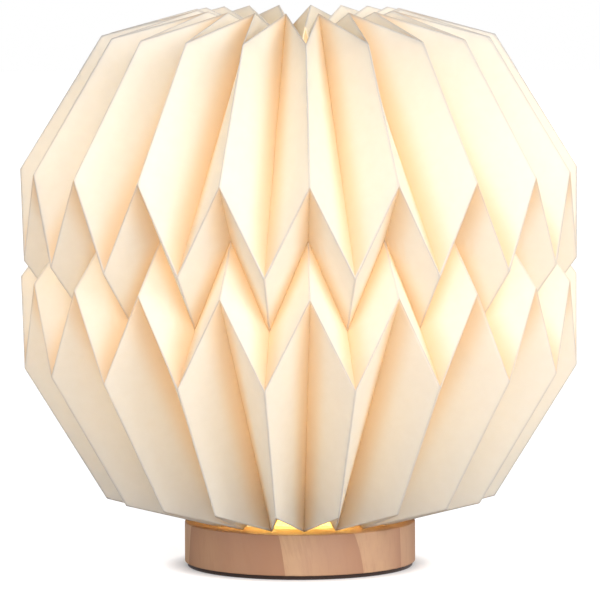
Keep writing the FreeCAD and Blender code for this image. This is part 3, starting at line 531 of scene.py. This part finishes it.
def paper_material(paper):
    """Heavy uncoated paper, scored and folded: a matt cream face with a soft fibre mottle. Light
    comes through warm. A warm glow is painted along the valley folds, in the face and in the light
    that comes through, for the lamp light that gathers there. A thin greyer line is painted along
    each mountain fold, partly the shade of the fold's turn and partly its broken fibres."""
    material, tree, output = new_material("uncoated_paper_scored")
    u, v, ridge, valley = (node_out(tree, "ShaderNodeAttribute", "Fac", {}, attribute_name=name)
                           for name in ("sheet_u", "sheet_v", "ridge_gap", "valley_gap"))
    place = node_out(tree, "ShaderNodeCombineXYZ", "Vector", {"X": u, "Y": v})
    clouds = noise(tree, place, 180.0, Detail=5.0, Roughness=0.62, noise_dimensions="2D")
    fibre = noise(tree, place, 900.0, Detail=3.0, Roughness=0.7, Distortion=0.6,
                  noise_dimensions="2D")
    # painted shade and wear: a greyer line along each mountain fold, partly the shade of its turn
    # and partly its broken fibres
    fold_line_shade_and_wear = span(tree, ridge, (0.1, 0.8), (0.45, 0.0))
    # painted light: a warm glow painted along the valley folds, fading out over 15 mm
    painted_valley_glow = span(tree, valley, (0.0, 15.0), (1.0, 0.0), interpolation_type="SMOOTHERSTEP")
    painted_valley_glow = node_out(tree, "ShaderNodeMath", 0, {0: painted_valley_glow, 1: paper.painted_valley_glow}, operation="MULTIPLY")
    mottled = mix(tree, clouds, shaded(paper.face, (0.97, 0.965, 0.95)), tuple(paper.face))
    face_with_valley_glow = mix(tree, painted_valley_glow, mottled, tuple(paper.valley_glow_paint))
    painted_glow_and_fold_line = mix(tree, fold_line_shade_and_wear, face_with_valley_glow, linear("B9B2B4"))
    height = node_out(tree, "ShaderNodeMath", 0, {0: clouds, 1: fibre}, operation="ADD")
    relief = bump(tree, height, 0.12, 0.05 * MM)
    front = node_out(tree, "ShaderNodeBsdfPrincipled", 0,
                     {"Base Color": painted_glow_and_fold_line, "Roughness": 0.82, "Specular IOR Level": 0.25,
                      "Normal": relief})
    glow = mix(tree, clouds, shaded(paper.glow, (0.95, 0.93, 0.9)), tuple(paper.glow))
    # painted light: the same valley glow, painted into the light that comes through
    glow = mix(tree, painted_valley_glow, glow, tuple(paper.valley_glow_paint))
    through = node_out(tree, "ShaderNodeBsdfTranslucent", 0, {"Color": glow, "Normal": relief})
    both = node_out(tree, "ShaderNodeMixShader", 0, {0: paper.lets_through, 1: front, 2: through})
    tree.links.new(both, output.inputs["Surface"])
    return material


def finish(tree, output, inputs):
    """A principled surface with these inputs as the whole material."""
    tree.links.new(node_out(tree, "ShaderNodeBsdfPrincipled", 0, inputs), output.inputs["Surface"])


def simple_material(name, code, roughness, metallic, grain, contrast):
    """A surface whose colour, gloss and fine relief vary with one noise over the object."""
    material, tree, output = new_material(name)
    texture = noise(tree, object_place(tree), grain, Detail=4.0)
    light_tint = linear(code)
    dark_tint = shaded(light_tint, (1 - contrast,) * 3)
    finish(tree, output, {
        "Base Color": mix(tree, texture, dark_tint, light_tint),
        "Roughness": span(tree, texture, (0, 1), (roughness * 0.85, min(1.0, roughness * 1.15))),
        "Metallic": metallic,
        "Normal": bump(tree, texture, 0.3, 0.03 * MM),
    })
    return material


def wood_material(base):
    """Beech-like pale wood, turned and fine sanded: growth rings cut on the slant show as soft
    arches, with short dark pores along the grain and a thin matt oil."""
    material, tree, output = new_material("beech_turned_oiled")
    early, late = tuple(base.early), tuple(base.late)
    place = object_place(tree)
    log = node_out(tree, "ShaderNodeMapping", "Vector",
                   {"Vector": place, "Location": (0.012, 0.075, 0.03),
                    "Rotation": (0.5, 1.05, 0.9), "Scale": (1.0, 1.0, 0.16)})
    sway = node_out(tree, "ShaderNodeTexNoise", "Color",
                    {"Vector": log, "Scale": 22.0, "Detail": 2.0})
    bent = node_out(tree, "ShaderNodeMix", 1, {0: 0.02, 4: log, 5: sway}, data_type="VECTOR")
    rings = node_out(tree, "ShaderNodeTexWave", "Fac",
                     {"Vector": bent, "Scale": 17.0, "Distortion": 2.6, "Detail": 2.0,
                      "Detail Scale": 1.4},
                     wave_type="RINGS", rings_direction="Z", wave_profile="SAW")
    along_grain = node_out(tree, "ShaderNodeMapping", "Vector",
                           {"Vector": log, "Scale": (700.0, 700.0, 90.0)})
    pores = noise(tree, along_grain, 1.0, Detail=3.0, Roughness=0.65)
    blotch = noise(tree, place, 30.0, Detail=4.0, Roughness=0.6)
    ringed = ramp(tree, rings, [(0.0, early), (0.3, early), (1.0, late)])
    flecks = ramp(tree, pores, [(0.34, linear("6E6E6E")), (0.5, linear("FFFFFF"))])
    streaked = mix(tree, flecks, mix(tree, 0.35, ringed, late), ringed)
    patches = span(tree, blotch, (0.4, 0.65), (0.0, 0.4))
    finish(tree, output, {
        "Base Color": mix(tree, patches, streaked, linear("B58C76")),
        "Roughness": span(tree, rings, (0, 1), (0.5, 0.6)),
        "Specular IOR Level": 0.4,
        "Normal": bump(tree, pores, 0.2, 0.03 * MM),
    })
    return material


def felt_material(base):
    """Dense wool felt, pressed: a matt dark brown with short tangled fibres."""
    material, tree, output = new_material("wool_felt_pressed")
    tangle = noise(tree, object_place(tree), 1400.0, Detail=5.0, Distortion=1.5)
    finish(tree, output, {
        "Base Color": mix(tree, tangle, shaded(base.felt, (0.6,) * 3),
                          shaded(base.felt, (1.4,) * 3)),
        "Roughness": 0.95,
        "Sheen Weight": 0.3,
        "Sheen Roughness": 0.5,
        "Normal": bump(tree, tangle, 0.6, 0.15 * MM),
    })
    return material


def lens_material(light):
    """Opal acrylic, moulded and frosted, lit from inside: its side glows a deep yellow and its top,
    right above the LEDs, several times brighter."""
    material, tree, output = new_material("opal_acrylic_lit")
    place = object_place(tree)
    height = node_out(tree, "ShaderNodeSeparateXYZ", "Z", {0: place})
    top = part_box("opal_lens")[1].z
    frost = noise(tree, place, 900.0)
    finish(tree, output, {
        "Base Color": linear("FFF6E6"),
        "Roughness": span(tree, frost, (0, 1), (0.4, 0.55)),
        "Emission Color": tuple(light.lens),
        "Emission Strength": span(tree, height, (top - LENS_SHOULDER, top),
                                  (light.glow, 4 * light.glow)),
    })
    return material


def floor_material():
    """White paper sweep: it takes the lamp's shadow, and adds just enough light of its own, for the
    camera only, that it meets the white behind it. Light that bounces off it is dimmer, as from a
    sweep that falls away behind the table's edge. Close around the base it adds none."""
    material, tree, output = new_material("paper_sweep_white")
    place = object_place(tree)
    texture = noise(tree, place, 300.0)
    seen = node_out(tree, "ShaderNodeLightPath", "Is Camera Ray", {})
    face = node_out(tree, "ShaderNodeBsdfPrincipled", 0,
                    {"Base Color": mix(tree, seen, linear("E6E4E2"), linear("D6D6D6")),
                     "Roughness": span(tree, texture, (0, 1), (0.85, 0.95))})
    away = node_out(tree, "ShaderNodeVectorMath", "Value", {0: place}, operation="LENGTH")
    # painted shade: the floor's own light fades out towards the base, so the floor close round it
    # is darker for the camera
    share = span(tree, away, (44 * MM, 60 * MM), (0.0, 0.8))
    own = node_out(tree, "ShaderNodeMath", 0, {0: seen, 1: share}, operation="MULTIPLY")
    lift = node_out(tree, "ShaderNodeEmission", 0, {"Color": linear("FFFFFF"), "Strength": own})
    both = node_out(tree, "ShaderNodeAddShader", 0, {0: face, 1: lift})
    tree.links.new(both, output.inputs["Surface"])
    return material


# Nodes that keep their solid, and for each group its finish: the material's name, colour,
# roughness, metal, noise cells per metre and how much darker the noise gets.
FINISHES = (
    # grey, softly shining, with a faint cloudy plating
    (("base_cover", "cover_screws", "tray_screws", "led_board_screws", "board_screws"),
     "steel_zinc_plated", "B9B7B2", 0.35, 1.0, 900.0, 0.12),
    # near black and satin, so that the rear opening reads as a dark slot
    (("key_switch", "rear_bezel"), "abs_moulded_black", "1B1B1C", 0.5, 0.0, 1500.0, 0.12),
    # a little lighter and glossier than the bezel round it, from a finger's touch
    (("power_button",), "abs_moulded_satin_grey", "2E2E30", 0.42, 0.0, 1500.0, 0.12),
    # clean warm white that throws the light upwards
    (("light_tray",), "polycarbonate_moulded_white", "F2EFE8", 0.5, 0.0, 1200.0, 0.04),
    # flat white lacquer with the sheen of a printed board
    (("led_board",), "aluminium_board_white_mask", "F4F3EE", 0.4, 0.0, 800.0, 0.04),
    # glossy egg yellow drops
    (("led_chips",), "led_phosphor_resin", "F2C64A", 0.25, 0.0, 2000.0, 0.12),
    # dull black with open pores
    (("battery_tape",), "foam_tape_black", "26262A", 0.95, 0.0, 1800.0, 0.4),
    # wrinkly silver foil
    (("battery_cell",), "foil_pouch_laminated", "C9CCD0", 0.3, 1.0, 300.0, 0.12),
    # dark green under clear lacquer
    (("charging_board",), "circuit_board_green_mask", "1F6B3E", 0.35, 0.0, 700.0, 0.12),
    # yellow metal with a turned sheen
    (("board_spacers",), "brass_turned", "D1B06B", 0.3, 1.0, 900.0, 0.12),
    # matt black chips
    (("board_parts",), "epoxy_moulded_black", "202022", 0.45, 0.0, 1500.0, 0.12),
    # bright, slightly streaky metal at the mouth of the socket
    (("charging_socket",), "stainless_steel_drawn", "C9C9C8", 0.28, 1.0, 900.0, 0.12),
    # rubbery red and white sleeves
    (("battery_leads",), "silicone_sleeve_red", "A3241C", 0.55, 0.0, 1200.0, 0.12),
    (("led_leads",), "silicone_sleeve_white", "E6E2D8", 0.55, 0.0, 1200.0, 0.12),
)


# ---- lights, floor and camera -------------------------------------------------------------------

def add_area_light(name, width, depth, power):
    """A rectangular lamp that shines down its own -Z."""
    data = bpy.data.lights.new(name, "AREA")
    data.shape = "RECTANGLE"
    data.size = width
    data.size_y = depth
    data.energy = power
    lamp = bpy.data.objects.new(name, data)
    bpy.context.scene.collection.objects.link(lamp)
    return lamp


def add_led_light(light, width, top):
    """The LEDs' light, as it leaves the top of the lens. The camera doesn't see the disc itself."""
    disc = add_area_light("led_ring_light", width, width, light.power)
    disc.data.shape = "DISK"
    disc.data.color = light.lamp[:3]
    disc.visible_camera = False
    disc.matrix_world = (Matrix.Translation((0, 0, top + MM / 2))
                         @ Matrix.Rotation(math.pi, 4, "X"))


def add_floor():
    """A flat disc that reaches past the edges of the picture."""
    segments = 96
    angle = np.linspace(0, 2 * np.pi, segments, endpoint=False)
    rings = np.array([0.0001, 0.3, 1.0, 4.0])
    points = np.stack([rings[:, None] * np.cos(angle), rings[:, None] * np.sin(angle),
                       np.zeros((len(rings), segments))], -1)
    floor = put_mesh("floor", points.reshape(-1, 3), grid_faces(len(rings), segments, True))
    floor.data.materials.append(floor_material())


def add_world(light):
    """Soft light that is brightest from the front. The camera, and what mirrors or lets light
    through, sees plain white."""
    world = bpy.data.worlds.new("studio")
    world.use_nodes = True
    tree = world.node_tree
    tree.nodes.clear()
    path = add(tree, "ShaderNodeLightPath").outputs
    seen = node_out(tree, "ShaderNodeMath", 0,
                    {0: path["Is Camera Ray"], 1: path["Is Glossy Ray"]}, operation="MAXIMUM")
    seen = node_out(tree, "ShaderNodeMath", 0,
                    {0: seen, 1: path["Is Transmission Ray"]}, operation="MAXIMUM")
    place = node_out(tree, "ShaderNodeTexCoord", "Generated", {})
    depth = node_out(tree, "ShaderNodeSeparateXYZ", "Y", {0: place})
    level = span(tree, depth, (-1.0, 0.1), (light.front + light.sky, light.sky))
    soft = node_out(tree, "ShaderNodeBackground", 0,
                    {"Color": linear("F4F6FF"), "Strength": level})
    white = node_out(tree, "ShaderNodeBackground", 0,
                     {"Color": linear("FFFFFF"), "Strength": 1.0})
    both = node_out(tree, "ShaderNodeMixShader", 0, {0: seen, 1: soft, 2: white})
    output = add(tree, "ShaderNodeOutputWorld")
    tree.links.new(both, output.inputs["Surface"])
    bpy.context.scene.world = world


def add_key_light(light):
    """A large soft lamp at the front right, aimed at the middle of the shade."""
    key = add_area_light("soft_front", 1.6, 1.2, light.key)
    spot = Vector((1.5, -1.4, 1.0))
    aim = (spot - Vector((0, 0, 0.12))).to_track_quat("Z", "Y").to_matrix().to_4x4()
    key.matrix_world = Matrix.Translation(spot) @ aim


def add_camera(view):
    """The camera that took the photograph, as near as the folds tell."""
    data = bpy.data.cameras.new("camera")
    data.lens = view.lens
    data.sensor_width = 36
    data.shift_x = view.shift
    data.clip_end = 20
    camera = bpy.data.objects.new("camera", data)
    bpy.context.scene.collection.objects.link(camera)
    camera.matrix_world = (Matrix.Translation((0, -view.distance, view.height))
                           @ Matrix.Rotation(math.pi / 2 - view.pitch, 4, "X")
                           @ Matrix.Rotation(view.roll, 4, "Z"))
    bpy.context.scene.camera = camera


# ---- operators ----------------------------------------------------------------------------------

class LAMP_OT_shade(bpy.types.Operator):
    """Fold the paper shade with its two collars"""
    bl_idname = "lamp.shade"
    bl_label = "Fold Shade"

    def execute(self, context):
        paper = context.scene.lamp_shade
        piece = make_shade_mesh(paper)
        dress(piece, paper_material(paper), "paper", "shade", *SHEETS)
        return {"FINISHED"}


class LAMP_OT_base(bpy.types.Operator):
    """Turn the wooden base and lay the felt under it"""
    bl_idname = "lamp.base"
    bl_label = "Turn Base"

    def execute(self, context):
        base = context.scene.lamp_base
        low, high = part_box("wooden_base")
        bezel_low, bezel_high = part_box("rear_bezel")
        plate_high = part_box("base_cover")[1]
        radius = high.x
        plate = plate_high.x + GAP
        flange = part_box("light_tray")[1].x + GAP
        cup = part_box("opal_lens")[1].x + 2 * GAP + TRAY_WALL
        roof = high.z - ROOF_THICKNESS
        seat = high.z - FLANGE_SEAT
        outline = smooth_corners([
            (plate, low.z), (radius, low.z), (radius, high.z), (flange, high.z), (flange, seat),
            (cup, seat), (cup, roof), (CAVITY_RADIUS, roof), (CAVITY_RADIUS, plate_high.z),
            (plate, plate_high.z),
        ], base.edge)
        piece = turned("turned_wood", outline, 224)
        width = bezel_high.x - bezel_low.x + GAP
        height = bezel_high.z - bezel_low.z + GAP
        level = (bezel_low.z + bezel_high.z) / 2
        recess = (0, bezel_low.y, radius + GAP)
        opening = (-RECESS_LIP, CAVITY_RADIUS / 2, bezel_low.y + GAP)
        for extent, y_from, y_to in (recess, opening):
            ring = slot_outline(width + extent, height + extent) + (0, level)
            cut(piece, stacked("recess_tool", [(ring, y_from), (ring, y_to)]))
        sharpen(piece)
        dress(piece, wood_material(base), "wood", "base", "wooden_base")
        low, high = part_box("base_pad")
        corners = [(0, 0), (high.x, low.z), (high.x, high.z), (0, high.z)]
        felt = turned("felt_foot", smooth_corners(corners, 0.25 * MM), 160)
        dress(felt, felt_material(base), "felt_pad", "base", "base_pad")
        return {"FINISHED"}


class LAMP_OT_light(bpy.types.Operator):
    """Mould the opal lens and set it glowing"""
    bl_idname = "lamp.light"
    bl_label = "Mould Lens"

    def execute(self, context):
        low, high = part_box("opal_lens")
        light = context.scene.lamp_light
        radius = min(high.x, LENS_RADIUS)
        inside = radius - LENS_WALL
        roof = high.z - LENS_WALL
        corners = [(0, high.z), (radius, high.z), (radius, low.z), (inside, low.z),
                   (inside, roof), (0, roof)]
        piece = turned("lens_cup", smooth_corners(corners, LENS_SHOULDER, 9), 128)
        dress(piece, lens_material(light), "opal", "base", "opal_lens")
        add_led_light(light, 2 * inside, high.z)
        return {"FINISHED"}


class LAMP_OT_fittings(bpy.types.Operator):
    """Finish the fittings and the parts inside the base"""
    bl_idname = "lamp.fittings"
    bl_label = "Finish Fittings"

    def execute(self, context):
        for nodes, *finish_values in FINISHES:
            material = simple_material(*finish_values)
            for node in nodes:
                paint(node, material)
        return {"FINISHED"}


class LAMP_OT_stage(bpy.types.Operator):
    """Set the floor, the studio light and the camera"""
    bl_idname = "lamp.stage"
    bl_label = "Set Stage"

    def execute(self, context):
        add_floor()
        add_world(context.scene.lamp_light)
        add_key_light(context.scene.lamp_light)
        add_camera(context.scene.lamp_view)
        context.scene.view_settings.view_transform = "Standard"
        return {"FINISHED"}


class LAMP_PT_panel(bpy.types.Panel):
    """The lamp's pieces, sizes and colours"""
    bl_idname = "LAMP_PT_panel"
    bl_label = "Pleated Lamp"
    bl_space_type = "VIEW_3D"
    bl_region_type = "UI"
    bl_category = "Lamp"

    def draw(self, context):
        for operator in OPERATORS:
            self.layout.operator(operator.bl_idname)
        for name in SETTINGS:
            group = getattr(context.scene, name)
            box = self.layout.box()
            for key in type(group).__annotations__:
                box.prop(group, key)


OPERATORS = (LAMP_OT_shade, LAMP_OT_base, LAMP_OT_light, LAMP_OT_fittings, LAMP_OT_stage)
SETTINGS = {"lamp_shade": ShadeSettings, "lamp_base": BaseSettings, "lamp_light": LightSettings,
            "lamp_view": ViewSettings}


def register():
    """Add the settings, the operators and the panel to Blender."""
    for group in SETTINGS.values():
        bpy.utils.register_class(group)
    for name, group in SETTINGS.items():
        setattr(bpy.types.Scene, name, PointerProperty(type=group))
    for part in (*OPERATORS, LAMP_PT_panel):
        bpy.utils.register_class(part)


def unregister():
    """Take them out again, last first."""
    for part in reversed((*OPERATORS, LAMP_PT_panel)):
        bpy.utils.unregister_class(part)
    for name, group in reversed(SETTINGS.items()):
        delattr(bpy.types.Scene, name)
        bpy.utils.unregister_class(group)


def main():
    """Build all pieces."""
    register()
    bpy.ops.lamp.shade()
    bpy.ops.lamp.base()
    bpy.ops.lamp.light()
    bpy.ops.lamp.fittings()
    bpy.ops.lamp.stage()


if __name__ == "__main__":
    main()
